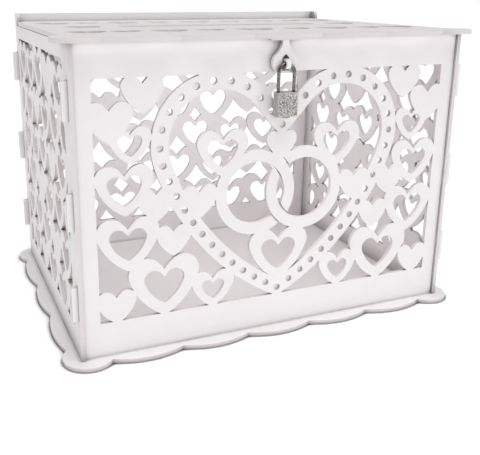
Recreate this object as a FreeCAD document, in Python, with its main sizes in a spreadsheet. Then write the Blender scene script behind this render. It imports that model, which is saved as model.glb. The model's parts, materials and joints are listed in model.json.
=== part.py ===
import FreeCAD, Part

import math
import os

from FreeCAD import Placement, Rotation, Vector

# Wedding card box cut from flat 3 mm board, with a scalloped base and lid, pierced walls and a small padlock.
# Millimetres, +Z up, the front faces -Y. The origin is the middle of the underside of the base.

SIZES = {
    "sheet": 3.0,
    "outer_width": 290.0,
    "outer_depth": 216.0,
    "wall_top": 209.6,
    "lid_under": 210.0,
    "ear_top": 219.6,
    "wall_setback": 2.0,
    "finger_reach": 4.0,
    "finger_height": 24.0,
    "slot_play": 0.2,
    "foot_length": 25.0,
    "window_half_width": 131.0,
    "window_low": 27.0,
    "window_high": 188.0,
    "side_window_half": 91.0,
    "side_window_low": 22.0,
    "side_window_high": 199.6,
    "pivot_y": 98.7,
    "pivot_z": 211.5,
    "pivot_hole_radius": 2.2,
    "card_slot_length": 168.0,
    "card_slot_width": 14.0,
    "hasp_x": -2.0,
    "hasp_back_y": -107.9,
    "hook_y": -112.7,
    "hook_z": 193.3,
    "hook_hole_radius": 1.9,
    "case_width": 15.0,
    "case_thick": 7.6,
    "case_low": 158.9,
    "case_high": 175.2,
    "wire_radius": 1.15,
    "leg_offset": 5.8,
    "bend_z": 187.75,
    "plug_radius": 2.6,
    "bolt_height": 1.0,
}

doc = FreeCAD.newDocument("card_box")
sizes = doc.addObject("Spreadsheet::Sheet", "sizes")
for row, (alias, value) in enumerate(SIZES.items(), start=1):
    sizes.set("A%d" % row, alias)
    sizes.set("B%d" % row, "%g" % value)
    sizes.setAlias("B%d" % row, alias)
doc.recompute()


def size(alias):
    return float(sizes.get(alias))


SHEET = size("sheet")
HALF_WIDTH = size("outer_width") / 2
HALF_DEPTH = size("outer_depth") / 2
INNER_HALF = HALF_WIDTH - SHEET
WALL_TOP = size("wall_top")
LID_UNDER = size("lid_under")
PLAY = size("slot_play")
FRONT_Y = -HALF_DEPTH + size("wall_setback")
BACK_Y = HALF_DEPTH - size("wall_setback") - SHEET
FINGER_CENTRES = (43.5, 106.0, 175.5)
FOOT_X = 65.5
FOOT_Y = 58.0
FOOT_END = 0.2


# Flat shapes. Each is drawn in a plane with coordinates (u, v) and stood up later.


def rectangle(low_u, high_u, low_v, high_v):
    corners = [(low_u, low_v), (high_u, low_v), (high_u, high_v), (low_u, high_v), (low_u, low_v)]
    return Part.Face(Part.makePolygon([Vector(u, v, 0) for u, v in corners]))


def disc(u, v, radius):
    return Part.Face(Part.Wire(Part.makeCircle(radius, Vector(u, v, 0))))


def arc(start, middle, end):
    points = [Vector(u, v, 0) for u, v in (start, middle, end)]
    return Part.Arc(*points).toShape()


LOBE_RADIUS = 0.466
LOBE_OFFSET = 0.534
FLANK_RADIUS = 2.011
CLEFT_ANGLE = math.radians(42)
FLANK_ANGLE = math.radians(20)


def heart_wire(u, v, half, grow=0.0):
    """Heart with its lobe centres at height v: a straight side into the cleft, a lobe and a long flank."""
    radius = LOBE_RADIUS * half + grow
    offset = LOBE_OFFSET * half
    flank = FLANK_RADIUS * half + grow
    reach = (FLANK_RADIUS - LOBE_RADIUS) * half
    centre_u = offset - reach * math.cos(FLANK_ANGLE)
    centre_v = reach * math.sin(FLANK_ANGLE)
    inner_u = offset - radius * math.cos(CLEFT_ANGLE)
    inner_v = radius * math.sin(CLEFT_ANGLE)
    cleft = (0.0, inner_v - inner_u / math.tan(CLEFT_ANGLE))
    crown_angle = (math.pi - CLEFT_ANGLE - FLANK_ANGLE) / 2
    crown = (offset + radius * math.cos(crown_angle), radius * math.sin(crown_angle))
    outer = (offset + radius * math.cos(FLANK_ANGLE), -radius * math.sin(FLANK_ANGLE))
    tip = (0.0, centre_v - math.sqrt(flank**2 - centre_u**2))
    tip_angle = math.atan2(tip[1] - centre_v, -centre_u)
    waist_angle = (tip_angle - FLANK_ANGLE) / 2
    waist = (centre_u + flank * math.cos(waist_angle), centre_v + flank * math.sin(waist_angle))

    def place(point, side):
        return (u + side * point[0], v + point[1])

    right_line = Part.makeLine(Vector(*place(cleft, 1), 0), Vector(u + inner_u, v + inner_v, 0))
    right_lobe = arc((u + inner_u, v + inner_v), place(crown, 1), place(outer, 1))
    right_flank = arc(place(outer, 1), place(waist, 1), place(tip, 1))
    left_flank = arc(place(tip, -1), place(waist, -1), place(outer, -1))
    left_lobe = arc(place(outer, -1), place(crown, -1), (u - inner_u, v + inner_v))
    left_line = Part.makeLine(Vector(u - inner_u, v + inner_v, 0), Vector(*place(cleft, -1), 0))
    return Part.Wire([right_line, right_lobe, right_flank, left_flank, left_lobe, left_line])


def solid_heart(u, v, half, grow=0.0):
    return Part.Face(heart_wire(u, v, half, grow))


def open_heart(u, v, half, band):
    """Heart with a smaller heart cut out of it, lowered so that the band is even all round."""
    return solid_heart(u, v, half).cut(solid_heart(u, v - 0.41 * band, half - band))


def joined(shapes):
    """Fuse flat shapes that touch into a single face."""
    whole = shapes[0].fuse(shapes[1:])
    merged = Part.makeShell(whole.Faces).removeSplitter().Faces
    return merged[0] if len(merged) == 1 else Part.makeCompound(merged)


LEAST_GAP = 4.0


def pierced(outline, window, lattice):
    """Cut from a sheet outline every part of its window that the lattice leaves open."""
    gaps = rectangle(*window).cut(lattice)
    return outline.cut([gap for gap in gaps.Faces if gap.Area > LEAST_GAP])


def heart_rows(window, columns, rows):
    """Staggered rows of hearts of assorted sizes that touch side by side."""
    low_u, high_u, low_v, high_v = window
    pitch = (high_u - low_u) / columns
    rise = (high_v - low_v) / rows
    halves = (17.5, 14.5, 19.0, 15.5, 18.0)
    hearts = []
    for row in range(rows):
        shift = 0.5 * (row % 2)
        count = columns + 1 - row % 2
        for column in range(count):
            pick = (2 * column + 3 * row) % len(halves)
            half = halves[pick] * pitch / 30.0
            u = low_u + (column + shift) * pitch
            v = low_v + (row + 0.62) * rise + 1.5 * (pick - 2)
            if (column + 2 * row) % 4 == 3:
                hearts.append(solid_heart(u, v, 0.86 * half))
                hearts.append(rectangle(u - pitch * 0.55, u + pitch * 0.55, v - 2.5, v + 2.5))
            else:
                hearts.append(open_heart(u, v, half, 0.42 * half))
    return hearts


# The scalloped outline that the base and the lid share.

SCALLOP_PITCH = 50.0
SIDE_PITCH = 59.0
NOTCH_Y = -111.5
PEAK_Y = -117.4
NOTCH_X = 151.2
PEAK_X = 155.5
BASE_CORNER = (150.5, -113.5)
BASE_SIDE = (NOTCH_X, -1.5 * SIDE_PITCH)
LID_CORNER = (150.6, -111.6)
LID_SIDE = (HALF_WIDTH, -88.0)


def front_scallops(corner, side):
    """Arcs along the front from left to right, with a corner scallop at each end."""
    edges = [arc((-side[0], side[1]), (-corner[0], corner[1]), (-2.5 * SCALLOP_PITCH, NOTCH_Y))]
    for step in range(5):
        start = (step - 2.5) * SCALLOP_PITCH
        middle = start + SCALLOP_PITCH / 2
        edges.append(arc((start, NOTCH_Y), (middle, PEAK_Y), (start + SCALLOP_PITCH, NOTCH_Y)))
    edges.append(arc((2.5 * SCALLOP_PITCH, NOTCH_Y), corner, side))
    return edges


def side_edge(count):
    """Arcs up the right side from the front, a scallop each."""
    edges = []
    for step in range(count):
        start = (step - 1.5) * SIDE_PITCH
        middle = start + SIDE_PITCH / 2
        edges.append(arc((NOTCH_X, start), (PEAK_X, middle), (NOTCH_X, start + SIDE_PITCH)))
    return edges


def mirrored(edges, normal):
    return [edge.mirror(Vector(0, 0, 0), normal) for edge in edges]


def outline_face(edges):
    loops = Part.sortEdges(edges)
    return Part.Face(Part.Wire(loops[0]))


def stood_up(face, plane, offset):
    """Move a flat drawing from (u, v) to its own plane of the box."""
    turned = face.copy()
    if plane == "XZ":
        turned.Placement = Placement(Vector(0, offset, 0), Rotation(Vector(1, 0, 0), 90))
    elif plane == "YZ":
        turned.Placement = Placement(Vector(offset, 0, 0), Rotation(Vector(1, 1, 1), 120))
    else:
        turned.Placement = Placement(Vector(0, 0, offset), Rotation())
    return turned


THROUGH = {"XY": Vector(0, 0, 1), "XZ": Vector(0, 1, 0), "YZ": Vector(1, 0, 0)}


def cut_sheet(node, face, plane, offset):
    """A piece cut from flat board: its outline, given the thickness of the sheet."""
    if len(face.Faces) != 1:
        raise RuntimeError("%s is %d loose pieces" % (node, len(face.Faces)))
    outline = doc.addObject("Part::Feature", node + "_outline")
    outline.Shape = stood_up(face.Faces[0], plane, offset)
    piece = doc.addObject("Part::Extrusion", node)
    piece.Base = outline
    piece.DirMode = "Custom"
    piece.Dir = THROUGH[plane]
    piece.Solid = True
    piece.setExpression("LengthFwd", "sizes.sheet")
    piece.Label = node
    return piece


# Base plate: the scalloped outline with a slot for every foot.

base_front = front_scallops(BASE_CORNER, BASE_SIDE)
base_right = side_edge(3)
base_edges = base_front + base_right
base_edges += mirrored(base_right, Vector(1, 0, 0))
base_edges += mirrored(base_front, Vector(0, 1, 0))
base_face = outline_face(base_edges)
half_foot = size("foot_length") / 2 + PLAY
foot_slots = []
for side in (-1, 1):
    for wall_y in (FRONT_Y, BACK_Y):
        slot = (side * FOOT_X - half_foot, side * FOOT_X + half_foot, wall_y - PLAY, wall_y + SHEET + PLAY)
        foot_slots.append(rectangle(*slot))
    for wall_x in (-HALF_WIDTH, INNER_HALF):
        slot = (wall_x - PLAY, wall_x + SHEET + PLAY, side * FOOT_Y - half_foot, side * FOOT_Y + half_foot)
        foot_slots.append(rectangle(*slot))
cut_sheet("base_plate", base_face.cut(foot_slots), "XY", 0.0)


# Side panels: a pierced wall with an ear at the rear top for the lid's pivot.

half_finger = size("finger_height") / 2
side_window = (
    -size("side_window_half"),
    size("side_window_half"),
    size("side_window_low"),
    size("side_window_high"),
)
ear_front = size("pivot_y") - 4.2
ear_top = size("ear_top")
ear_round = 4.0


def side_face():
    wall = rectangle(-HALF_DEPTH, HALF_DEPTH, SHEET, WALL_TOP)
    ear = rectangle(ear_front, HALF_DEPTH, WALL_TOP - 1, ear_top)
    corner = rectangle(ear_front, ear_front + ear_round, ear_top - ear_round, ear_top)
    corner = corner.cut(disc(ear_front + ear_round, ear_top - ear_round, ear_round))
    parts = [wall, ear.cut(corner)]
    foot = size("foot_length") / 2
    for side in (-1, 1):
        parts.append(rectangle(side * FOOT_Y - foot, side * FOOT_Y + foot, FOOT_END, SHEET + 1))
    face = pierced(joined(parts), side_window, heart_rows(side_window, 5, 6))
    holes = [disc(size("pivot_y"), size("pivot_z"), size("pivot_hole_radius"))]
    for centre in FINGER_CENTRES:
        low = centre - half_finger - PLAY
        high = centre + half_finger + PLAY
        for wall_y in (FRONT_Y, BACK_Y):
            holes.append(rectangle(wall_y - PLAY, wall_y + SHEET + PLAY, low, high))
    return face.cut(holes)


pierced_side = side_face()
cut_sheet("left_panel", pierced_side, "YZ", -HALF_WIDTH)
cut_sheet("right_panel", pierced_side, "YZ", INNER_HALF)


# Front and back panels: they stand between the sides and put fingers through them.

window = (
    -size("window_half_width"),
    size("window_half_width"),
    size("window_low"),
    size("window_high"),
)


END_GAP = 0.25


def wall_blank(top):
    shoulder = INNER_HALF - END_GAP
    parts = [rectangle(-shoulder, shoulder, SHEET, top)]
    reach = HALF_WIDTH + size("finger_reach")
    for centre in FINGER_CENTRES:
        parts.append(rectangle(-reach, reach, centre - half_finger, centre + half_finger))
    foot = size("foot_length") / 2
    for side in (-1, 1):
        parts.append(rectangle(side * FOOT_X - foot, side * FOOT_X + foot, FOOT_END, SHEET + 1))
    return joined(parts)


# Big heart in the front window: centreline half width, height of its lobe centres, half its band.
BIG_HALF = 88.0
BIG_V = 143.0
BIG_BAND = 6.0
BEAD_COUNT = 46
BEAD_RADIUS = 2.4
BEAD_CROWDING = 0.08

# Small hearts beside it on the left: u, v, half width and band, where a band of None is a solid heart.
SMALL_HEARTS = (
    (-98.7, 182.7, 14.0, None),
    (-120.5, 166.5, 15.5, None),
    (-107.5, 151.0, 14.2, 6.2),
    (-112.0, 124.1, 19.6, 8.1),
    (-91.0, 110.4, 13.5, None),
    (-110.5, 88.3, 21.4, 8.7),
    (-79.0, 83.8, 12.5, None),
    (-86.0, 56.9, 25.0, 10.8),
    (-119.4, 42.4, 13.6, None),
    (-50.5, 45.4, 16.0, 7.6),
)

# Ornament inside the big heart: two linked rings held by hearts.
RING_U = 19.0
RING_V = 105.5
RING_OUTER = 30.0
RING_BAND = 8.0
RING_GAP = 1.2
ORNAMENT_HEARTS = (
    (-60.5, 109.0, 13.2, None),
    (-44.0, 142.5, 18.5, 7.6),
)


def ring(u, outer, inner):
    return disc(u, RING_V, outer).cut(disc(u, RING_V, inner))


def linked_rings():
    """Each ring passes over the other once, shown by a narrow gap on both sides of the upper band."""
    inner = RING_OUTER - RING_BAND
    upper = rectangle(-20, 20, RING_V, RING_V + RING_OUTER)
    lower = rectangle(-20, 20, RING_V - RING_OUTER, RING_V)
    left = ring(-RING_U, RING_OUTER, inner)
    right = ring(RING_U, RING_OUTER, inner)
    over_left = ring(-RING_U, RING_OUTER + RING_GAP, inner - RING_GAP).common(upper)
    over_right = ring(RING_U, RING_OUTER + RING_GAP, inner - RING_GAP).common(lower)
    return [left.cut(over_right), right.cut(over_left)]


def front_lattice():
    band = solid_heart(0, BIG_V, BIG_HALF, BIG_BAND).cut(solid_heart(0, BIG_V, BIG_HALF, -BIG_BAND))
    parts = [band] + linked_rings()
    parts.append(solid_heart(0, 142.3, 11.5))
    parts.append(open_heart(0, 67.3, 23.0, 9.5))
    for u, v, half, thick in SMALL_HEARTS + ORNAMENT_HEARTS:
        for side in (-1, 1):
            heart = solid_heart(side * u, v, half) if thick is None else open_heart(side * u, v, half, thick)
            parts.append(heart)
    return parts


front_face = pierced(wall_blank(WALL_TOP), window, front_lattice())
BEAD_STEPS = 2000
bead_line = heart_wire(0, BIG_V, BIG_HALF).discretize(Number=BEAD_STEPS + 1)
front_holes = []
for number in range(BEAD_COUNT):
    turn = 2 * math.pi * number / BEAD_COUNT
    share = (turn + BEAD_CROWDING * math.sin(turn)) / (2 * math.pi)
    bead = bead_line[round(share * BEAD_STEPS)]
    front_holes.append(disc(bead.x, bead.y, BEAD_RADIUS))
tenon_half = 2.4
front_holes.append(
    rectangle(
        size("hasp_x") - SHEET / 2 - PLAY,
        size("hasp_x") + SHEET / 2 + PLAY,
        size("hook_z") - tenon_half - PLAY,
        size("hook_z") + tenon_half + PLAY,
    )
)
cut_sheet("front_panel", front_face.cut(front_holes), "XZ", FRONT_Y)
back_face = pierced(wall_blank(ear_top), window, heart_rows(window, 7, 5))
cut_sheet("back_panel", back_face, "XZ", BACK_Y)


# Lid: the scalloped outline cut back to fit between the ears, with two square pivot tabs.

lid_rear = size("pivot_y") + SHEET / 2
lid_shoulder = size("pivot_y") - 9.4
lid_edges = front_scallops(LID_CORNER, LID_SIDE)
lid_edges += [
    Part.makeLine(Vector(-HALF_WIDTH, LID_SIDE[1], 0), Vector(-HALF_WIDTH, lid_shoulder, 0)),
    Part.makeLine(Vector(-HALF_WIDTH, lid_shoulder, 0), Vector(HALF_WIDTH, lid_shoulder, 0)),
    Part.makeLine(Vector(HALF_WIDTH, lid_shoulder, 0), Vector(HALF_WIDTH, LID_SIDE[1], 0)),
]
lid_parts = [outline_face(lid_edges)]
neck = INNER_HALF - 0.3
lid_parts.append(rectangle(-neck, neck, lid_shoulder - 1, lid_rear))
lid_parts.append(rectangle(-HALF_WIDTH, HALF_WIDTH, size("pivot_y") - SHEET / 2, lid_rear))
lid_face = joined(lid_parts)
slot_half = size("card_slot_length") / 2
slot_wide = size("card_slot_width") / 2
lid_holes = [
    rectangle(-slot_half + slot_wide, slot_half - slot_wide, -slot_wide, slot_wide),
    disc(-slot_half + slot_wide, 0, slot_wide),
    disc(slot_half - slot_wide, 0, slot_wide),
]
lid_holes = [joined(lid_holes)]
HASP_TENON = 6.0
hasp_back = size("hasp_back_y")
hasp_x = size("hasp_x")
tenon_reach = HASP_TENON + PLAY
tenon_slot = (hasp_x - tenon_reach, hasp_x + tenon_reach, hasp_back - SHEET - PLAY, hasp_back + PLAY)
lid_holes.append(rectangle(*tenon_slot))
LID_HEARTS = ((0, 15.0), (34, 11.0), (64, 13.5), (95, 11.0), (122, 14.0))
for u, half in LID_HEARTS:
    for side in (-1, 1) if u else (1,):
        for row in (-58.0, 62.0):
            lid_holes.append(solid_heart(side * u, row, half))
for side in (-1, 1):
    lid_holes.append(solid_heart(side * 110, 4.0, 14.0))
cut_sheet("lid_panel", lid_face.cut(lid_holes), "XY", LID_UNDER)


# Hasp tab and staple, drawn as sketches in their own bodies.


def body_sketch(body, name, role, origin, edges):
    sketch = body.newObject("Sketcher::SketchObject", name)
    plane = [feature for feature in body.Origin.OriginFeatures if feature.Role == role][0]
    sketch.AttachmentSupport = (plane, [""])
    sketch.MapMode = "FlatFace"
    sketch.AttachmentOffset = Placement(Vector(*origin), Rotation())
    for edge in edges:
        sketch.addGeometry(edge, False)
    return sketch


def segment(start, end):
    return Part.LineSegment(Vector(*start, 0), Vector(*end, 0))


def bow(start, middle, end):
    points = [Vector(u, v, 0) for u, v in (start, middle, end)]
    return Part.Arc(*points)


def closed_path(points):
    return [segment(points[i], points[(i + 1) % len(points)]) for i in range(len(points))]


def padded(body, sketch, length_expression):
    pad = body.newObject("PartDesign::Pad", sketch.Name + "_pad")
    pad.Profile = sketch
    pad.setExpression("Length", length_expression)
    sketch.Visibility = False
    return pad


def pocketed(body, sketch, length_expression):
    pocket = body.newObject("PartDesign::Pocket", sketch.Name + "_cut")
    pocket.Profile = sketch
    pocket.setExpression("Length", length_expression)
    sketch.Visibility = False
    return pocket


NECK_HALF = 2.3
FLANGE_HALF = 11.0
FLANGE_LOW = LID_UNDER - 1.5
LOBE_FOOT = (3.9, 187.4)
LOBE_TIP = (9.3, 193.9)
LOBE_TOP = (7.0, 199.6)
SLOPE_MIDDLE = (3.9, 203.0)
NECK_LOW = 206.9
hasp_edges = [segment((-HASP_TENON, LID_UNDER + SHEET), (HASP_TENON, LID_UNDER + SHEET))]
half_hasp = [
    (HASP_TENON, LID_UNDER + SHEET),
    (HASP_TENON, LID_UNDER),
    (FLANGE_HALF, LID_UNDER),
    (FLANGE_HALF, FLANGE_LOW),
    (NECK_HALF, FLANGE_LOW),
    (NECK_HALF, NECK_LOW),
]


def on_side(side, point):
    return (side * point[0], point[1])


for side in (-1, 1):
    for start, end in zip(half_hasp[:-1], half_hasp[1:]):
        hasp_edges.append(segment(on_side(side, start), on_side(side, end)))
    hasp_edges.append(bow(on_side(side, half_hasp[-1]), on_side(side, SLOPE_MIDDLE), on_side(side, LOBE_TOP)))
    hasp_edges.append(bow(on_side(side, LOBE_TOP), on_side(side, LOBE_TIP), on_side(side, LOBE_FOOT)))
hasp_edges.append(segment(on_side(-1, LOBE_FOOT), LOBE_FOOT))
hasp_tab = doc.addObject("PartDesign::Body", "hasp_tab")
hasp_sketch = body_sketch(hasp_tab, "hasp_outline", "XZ_Plane", (hasp_x, 0, -hasp_back), hasp_edges)
padded(hasp_tab, hasp_sketch, "sizes.sheet")
OPENING_HALF = 2.5
OPENING_LOW = 188.9
OPENING_HIGH = 197.3
OPENING_PEAK = 199.7
hasp_opening = [
    (-OPENING_HALF, OPENING_LOW),
    (OPENING_HALF, OPENING_LOW),
    (OPENING_HALF, OPENING_HIGH),
    (0.0, OPENING_PEAK),
    (-OPENING_HALF, OPENING_HIGH),
]
opening_origin = (hasp_x, 0, -hasp_back + SHEET)
opening_sketch = body_sketch(hasp_tab, "hasp_opening", "XZ_Plane", opening_origin, closed_path(hasp_opening))
pocketed(hasp_tab, opening_sketch, "sizes.sheet")

NOSE_RADIUS = 3.4
hook_y = size("hook_y")
hook_z = size("hook_z")
staple_edges = [
    bow((hook_y, hook_z + NOSE_RADIUS), (hook_y - NOSE_RADIUS, hook_z), (hook_y, hook_z - NOSE_RADIUS)),
    segment((hook_y, hook_z - NOSE_RADIUS), (FRONT_Y, hook_z - NOSE_RADIUS)),
    segment((FRONT_Y, hook_z - NOSE_RADIUS), (FRONT_Y, hook_z - tenon_half)),
    segment((FRONT_Y, hook_z - tenon_half), (FRONT_Y + SHEET, hook_z - tenon_half)),
    segment((FRONT_Y + SHEET, hook_z - tenon_half), (FRONT_Y + SHEET, hook_z + tenon_half)),
    segment((FRONT_Y + SHEET, hook_z + tenon_half), (FRONT_Y, hook_z + tenon_half)),
    segment((FRONT_Y, hook_z + tenon_half), (FRONT_Y, hook_z + NOSE_RADIUS)),
    segment((FRONT_Y, hook_z + NOSE_RADIUS), (hook_y, hook_z + NOSE_RADIUS)),
]
staple = doc.addObject("PartDesign::Body", "staple")
staple_sketch = body_sketch(staple, "staple_outline", "YZ_Plane", (0, 0, hasp_x - SHEET / 2), staple_edges)
padded(staple, staple_sketch, "sizes.sheet")
eye = [Part.Circle(Vector(hook_y, hook_z, 0), Vector(0, 0, 1), size("hook_hole_radius"))]
eye_sketch = body_sketch(staple, "staple_eye", "YZ_Plane", (0, 0, hasp_x + SHEET / 2), eye)
pocketed(staple, eye_sketch, "sizes.sheet")


# Padlock: primitives placed about the middle of the lock and bound to the same sizes.

lock_middle = Vector(hasp_x, 0, 0)


def cylinder(name, radius, height, position, direction=Vector(0, 0, 1)):
    shape = doc.addObject("Part::Cylinder", name)
    shape.setExpression("Radius", radius)
    shape.setExpression("Height", height)
    shape.Placement = Placement(lock_middle + position, Rotation(Vector(0, 0, 1), direction))
    return shape


def block(name, lengths, position):
    shape = doc.addObject("Part::Box", name)
    for prop, expression in zip(("Length", "Width", "Height"), lengths):
        shape.setExpression(prop, expression)
    shape.Placement = Placement(lock_middle + position, Rotation())
    return shape


def union(name, shapes):
    whole = doc.addObject("Part::MultiFuse", name)
    whole.Shapes = shapes
    return whole


def difference(name, base, tool):
    rest = doc.addObject("Part::Cut", name)
    rest.Base = base
    rest.Tool = tool
    return rest


LOW = size("case_low")
HIGH = size("case_high")
CASE_HALF = size("case_width") / 2
THICK_HALF = size("case_thick") / 2
LEG = size("leg_offset")
WIRE = size("wire_radius")
CASE_ROUND = 0.9
FACE_WIDTH = 13.0
FACE_HEIGHT = 13.9
FACE_LOW = 1.2
FACE_THICK = 0.4
BOLT_LOW = HIGH - 2.0
LONG_LEG_END = LOW + 3.6
SHORT_LEG_END = HIGH - 4.2
case_block = block(
    "case_block",
    ("sizes.case_width", "sizes.case_thick", "sizes.case_high - sizes.case_low"),
    Vector(-CASE_HALF, hook_y - THICK_HALF, LOW),
)
doc.recompute()
case_body = doc.addObject("Part::Fillet", "case_body")
case_body.Base = case_block
upright = []
for number, edge in enumerate(case_block.Shape.Edges, start=1):
    if edge.BoundBox.ZLength > 1:
        upright.append((number, CASE_ROUND, CASE_ROUND))
case_body.Edges = upright
hollows = [
    cylinder(
        "long_leg_bore",
        "sizes.wire_radius + 0.08",
        "sizes.case_high - %g" % (LONG_LEG_END - 1.8),
        Vector(-LEG, hook_y, LONG_LEG_END - 1.8),
    ),
    cylinder("short_leg_bore", "sizes.wire_radius + 0.08", "5.2", Vector(LEG, hook_y, HIGH - 5.0)),
    cylinder(
        "plug_bore",
        "sizes.plug_radius + 0.06",
        "sizes.case_high - sizes.case_low - 1.9",
        Vector(0, hook_y, LOW - 0.1),
    ),
    block(
        "bolt_channel",
        ("sizes.leg_offset + 4.4", "5.5", "sizes.bolt_height + 0.1"),
        Vector(-4.4, hook_y - 2.75, BOLT_LOW - 0.05),
    ),
    cylinder("retainer_bore", "0.5", "6.4", Vector(2.5, hook_y - 3.2, LOW + 8.4), Vector(0, 1, 0)),
]
face_sides = (("front", hook_y - THICK_HALF - 0.1), ("back", hook_y + THICK_HALF - 0.3))
recess_lengths = ("%g" % (FACE_WIDTH + 0.1), "%g" % FACE_THICK, "%g" % (FACE_HEIGHT + 0.1))
for name, face_y in face_sides:
    corner = Vector(-FACE_WIDTH / 2 - 0.05, face_y, LOW + FACE_LOW)
    hollows.append(block(name + "_recess", recess_lengths, corner))
difference("padlock_case", case_body, union("case_hollows", hollows))

plate_lengths = ("%g" % FACE_WIDTH, "%g" % FACE_THICK, "%g" % FACE_HEIGHT)
for node, (name, face_y) in zip(("padlock_face", "padlock_back"), face_sides):
    block(node, plate_lengths, Vector(-FACE_WIDTH / 2, face_y, LOW + FACE_LOW + 0.05))

bend = doc.addObject("Part::Torus", "shackle_bend")
bend.setExpression("Radius1", "sizes.leg_offset")
bend.setExpression("Radius2", "sizes.wire_radius")
bend.Angle3 = 180
bend.Placement = Placement(Vector(hasp_x, hook_y, size("bend_z")), Rotation(Vector(1, 0, 0), 90))
long_leg = cylinder(
    "long_leg",
    "sizes.wire_radius",
    "sizes.bend_z - %g" % LONG_LEG_END,
    Vector(-LEG, hook_y, LONG_LEG_END),
)
short_leg = cylinder(
    "short_leg",
    "sizes.wire_radius",
    "sizes.bend_z - %g" % SHORT_LEG_END,
    Vector(LEG, hook_y, SHORT_LEG_END),
)
notch = block(
    "leg_notch",
    ("1.0", "4.0", "sizes.bolt_height + 1.4"),
    Vector(LEG - WIRE - 0.5, hook_y - 2.0, BOLT_LOW - 1.2),
)
difference("padlock_shackle", union("shackle_wire", [bend, long_leg, short_leg]), notch)

plug_parts = [
    cylinder(
        "plug_barrel",
        "sizes.plug_radius",
        "sizes.case_high - sizes.case_low - 2.8",
        Vector(0, hook_y, LOW),
    ),
    cylinder("plug_flange", "sizes.plug_radius + 0.6", "0.7", Vector(0, hook_y, LOW - 0.7)),
    cylinder("plug_pin", "0.45", "2.3", Vector(1.0, hook_y + 1.0, HIGH - 3.4)),
]
groove_outer = cylinder("groove_outer", "sizes.plug_radius + 0.5", "1.4", Vector(0, hook_y, LOW + 7.7))
groove_inner = cylinder("groove_inner", "sizes.plug_radius - 0.75", "1.4", Vector(0, hook_y, LOW + 7.7))
plug_cuts = [
    difference("plug_groove", groove_outer, groove_inner),
    block("keyhole", ("0.8", "3.4", "9.0"), Vector(-0.4, hook_y - 1.7, LOW - 0.8)),
]
difference("key_plug", union("plug_body", plug_parts), union("plug_cuts", plug_cuts))

bolt_bar = block(
    "bolt_bar",
    ("sizes.leg_offset + 1.35", "5.4", "sizes.bolt_height"),
    Vector(-2.2, hook_y - 2.7, BOLT_LOW),
)
bolt_slot = block("bolt_slot", ("1.3", "2.2", "2.0"), Vector(0.35, hook_y + 0.1, BOLT_LOW - 0.5))
difference("locking_bolt", bolt_bar, bolt_slot)
cylinder("plug_retainer", "0.5", "5.8", Vector(2.5, hook_y - 2.9, LOW + 8.4), Vector(0, 1, 0))

NODES = (
    "base_plate",
    "left_panel",
    "right_panel",
    "front_panel",
    "back_panel",
    "staple",
    "lid_panel",
    "hasp_tab",
    "padlock_shackle",
    "padlock_case",
    "padlock_face",
    "padlock_back",
    "plug_retainer",
    "key_plug",
    "locking_bolt",
)

doc.recompute()
for thing in doc.Objects:
    bad = [state for state in thing.State if state in ("Invalid", "Error")]
    if bad:
        raise RuntimeError("%s did not build: %s" % (thing.Name, bad))

os.makedirs("parts", exist_ok=True)
for node in NODES:
    piece = doc.getObject(node)
    piece.Label = node
    shape = piece.Shape
    if shape.isNull() or not shape.isValid() or len(shape.Solids) != 1:
        raise RuntimeError("%s is not one sound solid (%d)" % (node, len(shape.Solids)))
    shape.exportStep("parts/%s.step" % node)
    print(node, round(shape.Volume), shape.BoundBox)
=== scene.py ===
import json
import math
import random

import bpy
from mathutils import Matrix, Vector, kdtree


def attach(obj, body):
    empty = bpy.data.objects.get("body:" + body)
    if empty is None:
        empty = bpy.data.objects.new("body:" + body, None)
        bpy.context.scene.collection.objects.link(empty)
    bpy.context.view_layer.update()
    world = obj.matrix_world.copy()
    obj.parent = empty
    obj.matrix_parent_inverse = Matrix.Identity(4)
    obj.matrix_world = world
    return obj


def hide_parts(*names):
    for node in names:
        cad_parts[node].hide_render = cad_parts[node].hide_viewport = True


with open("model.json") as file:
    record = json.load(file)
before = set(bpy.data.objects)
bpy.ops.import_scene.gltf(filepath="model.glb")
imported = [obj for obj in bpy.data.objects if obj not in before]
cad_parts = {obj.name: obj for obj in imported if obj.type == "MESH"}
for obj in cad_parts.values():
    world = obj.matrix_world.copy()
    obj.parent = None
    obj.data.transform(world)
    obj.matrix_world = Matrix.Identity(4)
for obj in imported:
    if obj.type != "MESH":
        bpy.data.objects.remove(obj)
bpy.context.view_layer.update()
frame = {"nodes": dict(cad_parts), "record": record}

nodes = frame["nodes"]

# Camera: where the eye is in the box's own frame, in metres, and the way it looks.
EYE = Vector((-0.2244, -0.5136, 0.2396))
LOOK = Vector((0.36935, 0.88730, -0.27617))
RIGHT = Vector((0.92378, -0.38289, 0.00530))
FOCAL_SHARE = 1.4354
SHIFT_ACROSS = 0.0667
SHIFT_UP = -0.0825
SENSOR_WIDTH = 36.0
NEAREST = 0.01
FARTHEST = 200.0

camera_data = bpy.data.cameras.new("camera")
camera = bpy.data.objects.new("camera", camera_data)
bpy.context.scene.collection.objects.link(camera)
back = -LOOK.normalized()
right = (RIGHT - RIGHT.dot(back) * back).normalized()
up = back.cross(right)
camera.matrix_world = Matrix.Translation(EYE) @ Matrix((right, up, back)).transposed().to_4x4()
camera_data.sensor_width = SENSOR_WIDTH
camera_data.lens = FOCAL_SHARE * SENSOR_WIDTH
camera_data.shift_x = SHIFT_ACROSS
camera_data.shift_y = SHIFT_UP
camera_data.clip_start = NEAREST
camera_data.clip_end = FARTHEST
bpy.context.scene.camera = camera


# Materials: each is a small node tree that varies over the surface.
WHITE = (1.0, 1.0, 1.0)
# Sockets of a mix node that works on colours: the two colours going in and the one coming out.
FIRST_COLOUR = 6
SECOND_COLOUR = 7
MIXED_COLOUR = 2
GAP_SAMPLES = 8


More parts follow.
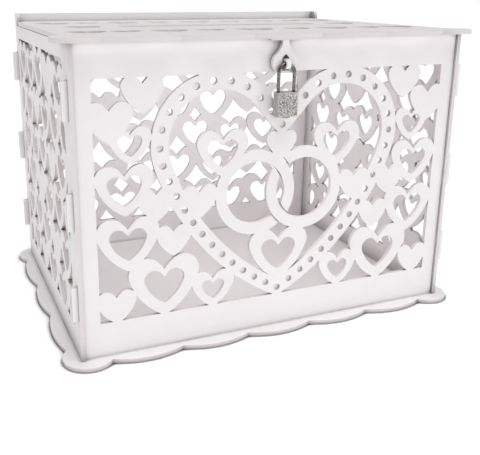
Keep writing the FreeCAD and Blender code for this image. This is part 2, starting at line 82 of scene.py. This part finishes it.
def new_material(name):
    material = bpy.data.materials.new(name)
    material.use_nodes = True
    tree = material.node_tree
    tree.nodes.clear()
    output = tree.nodes.new("ShaderNodeOutputMaterial")
    shader = tree.nodes.new("ShaderNodeBsdfPrincipled")
    tree.links.new(shader.outputs["BSDF"], output.inputs["Surface"])
    return material, tree, shader


def noise(tree, scale, detail, roughness=0.5):
    """Cloudy values from 0 to 1 that keep their place on the piece."""
    coordinates = tree.nodes.new("ShaderNodeTexCoord")
    texture = tree.nodes.new("ShaderNodeTexNoise")
    texture.inputs["Scale"].default_value = scale
    texture.inputs["Detail"].default_value = detail
    texture.inputs["Roughness"].default_value = roughness
    tree.links.new(coordinates.outputs["Object"], texture.inputs["Vector"])
    return texture.outputs["Fac"]


def ramp(tree, source, low, high, start=0.35, end=0.65):
    """A colour that runs from low to high while the source runs from start to end."""
    node = tree.nodes.new("ShaderNodeValToRGB")
    node.color_ramp.elements[0].position = start
    node.color_ramp.elements[0].color = (*low, 1.0)
    node.color_ramp.elements[1].position = end
    node.color_ramp.elements[1].color = (*high, 1.0)
    tree.links.new(source, node.inputs["Fac"])
    return node.outputs["Color"]


def span(tree, source, low, high):
    """The source, 0 to 1, stretched to run from low to high."""
    node = tree.nodes.new("ShaderNodeMapRange")
    node.inputs["To Min"].default_value = low
    node.inputs["To Max"].default_value = high
    tree.links.new(source, node.inputs["Value"])
    return node.outputs["Result"]


def bump(tree, shader, source, distance, strength=1.0):
    node = tree.nodes.new("ShaderNodeBump")
    node.inputs["Distance"].default_value = distance
    node.inputs["Strength"].default_value = strength
    tree.links.new(source, node.inputs["Height"])
    tree.links.new(node.outputs["Normal"], shader.inputs["Normal"])


def multiplied(tree, colour, factor):
    mix = tree.nodes.new("ShaderNodeMix")
    mix.data_type = "RGBA"
    mix.blend_type = "MULTIPLY"
    mix.inputs["Factor"].default_value = 1.0
    tree.links.new(colour, mix.inputs[FIRST_COLOUR])
    tree.links.new(factor, mix.inputs[SECOND_COLOUR])
    return mix.outputs[MIXED_COLOUR]


def painted_gap_shade(tree, colour, reach, darkest, start, end):
    """The colour, darkened by painted shade where other surfaces stand close by, as in slots and along seams.
    """
    nearby = tree.nodes.new("ShaderNodeAmbientOcclusion")
    nearby.samples = GAP_SAMPLES
    nearby.inputs["Distance"].default_value = reach
    grey = (darkest, darkest, darkest)
    return multiplied(tree, colour, ramp(tree, nearby.outputs["AO"], grey, WHITE, start, end))


# How far a surface faces along the thin axis: at most this on a cut edge, at least this on the flat.
CUT_FACING = 0.35
FLAT_FACING = 0.75


def painted_cut_shade(tree, colour, thin_axis, shade_tint):
    """The colour, with painted shade tinted onto the cut edges: every surface that doesn't face along the
    sheet's thin axis.
    """
    coordinates = tree.nodes.new("ShaderNodeTexCoord")
    parts = tree.nodes.new("ShaderNodeSeparateXYZ")
    tree.links.new(coordinates.outputs["Normal"], parts.inputs["Vector"])
    facing = tree.nodes.new("ShaderNodeMath")
    facing.operation = "ABSOLUTE"
    tree.links.new(parts.outputs[thin_axis], facing.inputs[0])
    return multiplied(tree, colour, ramp(tree, facing.outputs["Value"], shade_tint, WHITE, CUT_FACING, FLAT_FACING))


BOARD_DIM = (0.925, 0.893, 0.900)
BOARD_BRIGHT = (0.950, 0.920, 0.927)
CUT_SHADE_TINT = (0.86, 0.83, 0.83)
BOARD_GAP_SHADE = 0.25
MOTTLE_SCALE = 22.0
PATCH_SCALE = 160.0
BOARD_GRAIN = 2600.0
BOARD_GRAIN_DEPTH = 0.00003


def white_board(name, thin_axis, reach, start, end):
    """Matte foamed board: a faint mottle, a very fine grain, cut edges a little darker than the faces as
    painted shade, and painted shade in gaps and seams.
    """
    material, tree, shader = new_material(name)
    white = ramp(tree, noise(tree, MOTTLE_SCALE, 5.0), BOARD_DIM, BOARD_BRIGHT)
    # Painted shade: the cut edges are tinted darker, and the colour darkens in gaps and along seams.
    white = painted_cut_shade(tree, white, thin_axis, CUT_SHADE_TINT)
    white = painted_gap_shade(tree, white, reach, BOARD_GAP_SHADE, start, end)
    tree.links.new(white, shader.inputs["Base Color"])
    tree.links.new(span(tree, noise(tree, PATCH_SCALE, 3.0), 0.46, 0.62), shader.inputs["Roughness"])
    bump(tree, shader, noise(tree, BOARD_GRAIN, 2.0), BOARD_GRAIN_DEPTH, 0.5)
    shader.inputs["Specular IOR Level"].default_value = 0.35
    return material


CLOUD_SCALE = 900.0
METAL_GAP_REACH = 0.0014
METAL_GAP_SHADE = 0.02


def metal(name, dark, bright, rough_low, rough_high, grain, grain_depth):
    """Metal with a cloudy colour and polish and a fine grain; the bright speckles of the colour are painted
    glints, and painted shade darkens its corners and seams.
    """
    material, tree, shader = new_material(name)
    shader.inputs["Metallic"].default_value = 1.0
    # Painted glints: the bright speckles of this cloud stand in for the sparkle of the metal; the rest is
    # uneven tone.
    colour = ramp(tree, noise(tree, CLOUD_SCALE, 5.0, 0.7), dark, bright)
    # Painted shade in the metal's corners and seams.
    colour = painted_gap_shade(tree, colour, METAL_GAP_REACH, METAL_GAP_SHADE, 0.5, 0.99)
    tree.links.new(colour, shader.inputs["Base Color"])
    polish = span(tree, noise(tree, CLOUD_SCALE, 4.0), rough_low, rough_high)
    tree.links.new(polish, shader.inputs["Roughness"])
    bump(tree, shader, noise(tree, grain, 3.0), grain_depth, 0.6)
    return material


# The sides' painted gap shade reaches wider, which paints shade on the walls of their narrow hearts.
side_board = white_board("side_board", "X", reach=0.02, start=0.3, end=0.95)
upright_board = white_board("upright_board", "Y", reach=0.006, start=0.0, end=0.75)
level_board = white_board("level_board", "Z", reach=0.006, start=0.0, end=0.75)
# The metals' dark colours, darkest on the shackle, are partly painted reflections of darker surroundings than
# the white stage.
nickel = metal("case_nickel", (0.33, 0.305, 0.285), (0.70, 0.67, 0.64), 0.24, 0.42, 1800.0, 0.00004)
hammered = metal("hammered_plate", (0.16, 0.145, 0.13), (1.0, 0.98, 0.95), 0.16, 0.34, 2400.0, 0.00006)
wire = metal("shackle_steel", (0.035, 0.032, 0.026), (0.36, 0.34, 0.31), 0.08, 0.20, 1500.0, 0.00002)
brass = metal("plug_brass", (0.30, 0.25, 0.16), (0.50, 0.43, 0.28), 0.25, 0.42, 1500.0, 0.00002)
finishes = {
    "white_board": upright_board,
    "case_nickel": nickel,
    "hammered_plate": hammered,
    "shackle_steel": wire,
    "plug_brass": brass,
}
slots = {row["node"]: row["material_slot"] for row in frame["record"]["subparts"]}
for name, piece in nodes.items():
    piece.data.materials.clear()
    piece.data.materials.append(finishes[slots[name]])
for name in ("left_panel", "right_panel"):
    nodes[name].data.materials[0] = side_board
for name in ("base_plate", "lid_panel"):
    nodes[name].data.materials[0] = level_board

# Every cut edge is slightly broken; the flat drawing of each piece stays as it is.
SHARP_EDGE = math.radians(40)
EDGE_BREAK = {
    "white_board": 0.00022,
    "case_nickel": 0.00035,
    "hammered_plate": 0.00008,
    "plug_brass": 0.00008,
}
for name, piece in nodes.items():
    if slots[name] in EDGE_BREAK:
        bevel = piece.modifiers.new("edge_break", "BEVEL")
        bevel.width = EDGE_BREAK[slots[name]]
        bevel.segments = 2
        bevel.limit_method = "ANGLE"
        bevel.angle_limit = SHARP_EDGE
        bevel.use_clamp_overlap = True

# The beaten front plate of the padlock.
DIMPLES = 300
STEPS = 84
DIMPLE_DEPTH = 0.00022
RIDGE_WIDTH = 0.00045
DIMPLE_SEED = 11


def hammered_face():
    """Front plate of the padlock beaten into small dimples, with a flat margin and a flat back."""
    flat_plate = nodes["padlock_face"]
    corners = [flat_plate.matrix_world @ Vector(corner) for corner in flat_plate.bound_box]
    left = min(corner.x for corner in corners)
    right = max(corner.x for corner in corners)
    front = min(corner.y for corner in corners)
    rear = max(corner.y for corner in corners)
    low = min(corner.z for corner in corners)
    high = max(corner.z for corner in corners)
    chance = random.Random(DIMPLE_SEED)
    dimples = kdtree.KDTree(DIMPLES)
    for index in range(DIMPLES):
        dimples.insert((chance.uniform(left, right), 0.0, chance.uniform(low, high)), index)
    dimples.balance()
    verts = []
    for row in range(STEPS + 1):
        for column in range(STEPS + 1):
            x = left + (right - left) * column / STEPS
            z = low + (high - low) * row / STEPS
            edge = min(x - left, right - x, z - low, high - z)
            near = dimples.find_n((x, 0.0, z), 2)
            ridge = near[1][2] - near[0][2]
            depth = DIMPLE_DEPTH * min(1.0, ridge / RIDGE_WIDTH)
            verts.append((x, front + depth * min(1.0, edge / RIDGE_WIDTH), z))
    row_length = STEPS + 1
    faces = []
    for row in range(STEPS):
        for column in range(STEPS):
            start = row * row_length + column
            faces.append((start, start + 1, start + 1 + row_length, start + row_length))
    rim = list(range(STEPS)) + [row * row_length + STEPS for row in range(STEPS)]
    rim += [STEPS * row_length + STEPS - column for column in range(STEPS)]
    rim += [(STEPS - row) * row_length for row in range(STEPS)]
    first_rear = len(verts)
    for index in rim:
        verts.append((verts[index][0], rear, verts[index][2]))
    for step in range(len(rim)):
        following = (step + 1) % len(rim)
        faces.append((rim[following], rim[step], first_rear + step, first_rear + following))
    faces.append(tuple(range(first_rear + len(rim) - 1, first_rear - 1, -1)))
    mesh = bpy.data.meshes.new("hammered_face")
    mesh.from_pydata(verts, [], faces)
    mesh.materials.append(hammered)
    mesh.update()
    plate = bpy.data.objects.new("hammered_face", mesh)
    bpy.context.scene.collection.objects.link(plate)
    return plate


face_plate = hammered_face()
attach(face_plate, "case")
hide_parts("padlock_face")

# Stage and light: a pale floor to the horizon, soft light from above, a key light and a weak inner lamp.
FAR = 60.0
CONTACT_REACH = 0.008
FLOOR_GLOW = 0.33
SKY_STRENGTH = 0.32
stage_material, tree, shader = new_material("pale_floor")
shader.inputs["Roughness"].default_value = 0.7
shader.inputs["Specular IOR Level"].default_value = 0.1
shade = ramp(tree, noise(tree, 3.0, 2.0), (0.93, 0.93, 0.935), (0.95, 0.95, 0.955))
# Painted contact shadow: the floor's colour, and its glow, darken where the box stands close.
painted_contact_shadow = painted_gap_shade(tree, shade, CONTACT_REACH, 0.0, 0.5, 0.88)
tree.links.new(painted_contact_shadow, shader.inputs["Base Color"])
tree.links.new(painted_contact_shadow, shader.inputs["Emission Color"])
shader.inputs["Emission Strength"].default_value = FLOOR_GLOW
floor_mesh = bpy.data.meshes.new("floor")
corners = [(-FAR, -FAR, 0), (FAR, -FAR, 0), (FAR, FAR, 0), (-FAR, FAR, 0)]
floor_mesh.from_pydata(corners, [], [(0, 1, 2, 3)])
floor_mesh.materials.append(stage_material)
floor = bpy.data.objects.new("floor", floor_mesh)
bpy.context.scene.collection.objects.link(floor)

world = bpy.data.worlds.new("studio")
world.use_nodes = True
sky = world.node_tree.nodes["Background"]
sky.inputs["Color"].default_value = (*WHITE, 1.0)
sky.inputs["Strength"].default_value = SKY_STRENGTH
bpy.context.scene.world = world


def sun(name, towards, softness, strength):
    """Even light over the whole stage, coming from the direction given."""
    data = bpy.data.lights.new(name, "SUN")
    data.angle = math.radians(softness)
    data.energy = strength
    light = bpy.data.objects.new(name, data)
    bpy.context.scene.collection.objects.link(light)
    light.rotation_mode = "QUATERNION"
    light.rotation_quaternion = Vector(towards).to_track_quat("Z", "Y")


def lamp(name, place, target, size, power):
    """A square lamp at the place given, facing the target, that the camera doesn't see."""
    data = bpy.data.lights.new(name, "AREA")
    data.size = size
    data.energy = power
    light = bpy.data.objects.new(name, data)
    bpy.context.scene.collection.objects.link(light)
    light.location = place
    light.rotation_mode = "QUATERNION"
    light.rotation_quaternion = (Vector(place) - Vector(target)).to_track_quat("Z", "Y")
    light.visible_camera = False


sun("overhead", towards=(-0.05, -0.25, 1.0), softness=50.0, strength=1.62)
sun("key", towards=(0.72, -0.66, 0.22), softness=12.0, strength=0.38)
# The inner lamp fits wholly between the walls, under the lid, so that it lights only the inside.
lamp("inner_fill", place=(0.0, -0.04, 0.185), target=(0.0, 0.04, 0.0), size=0.1, power=0.075)

bpy.context.scene.view_settings.view_transform = "Standard"
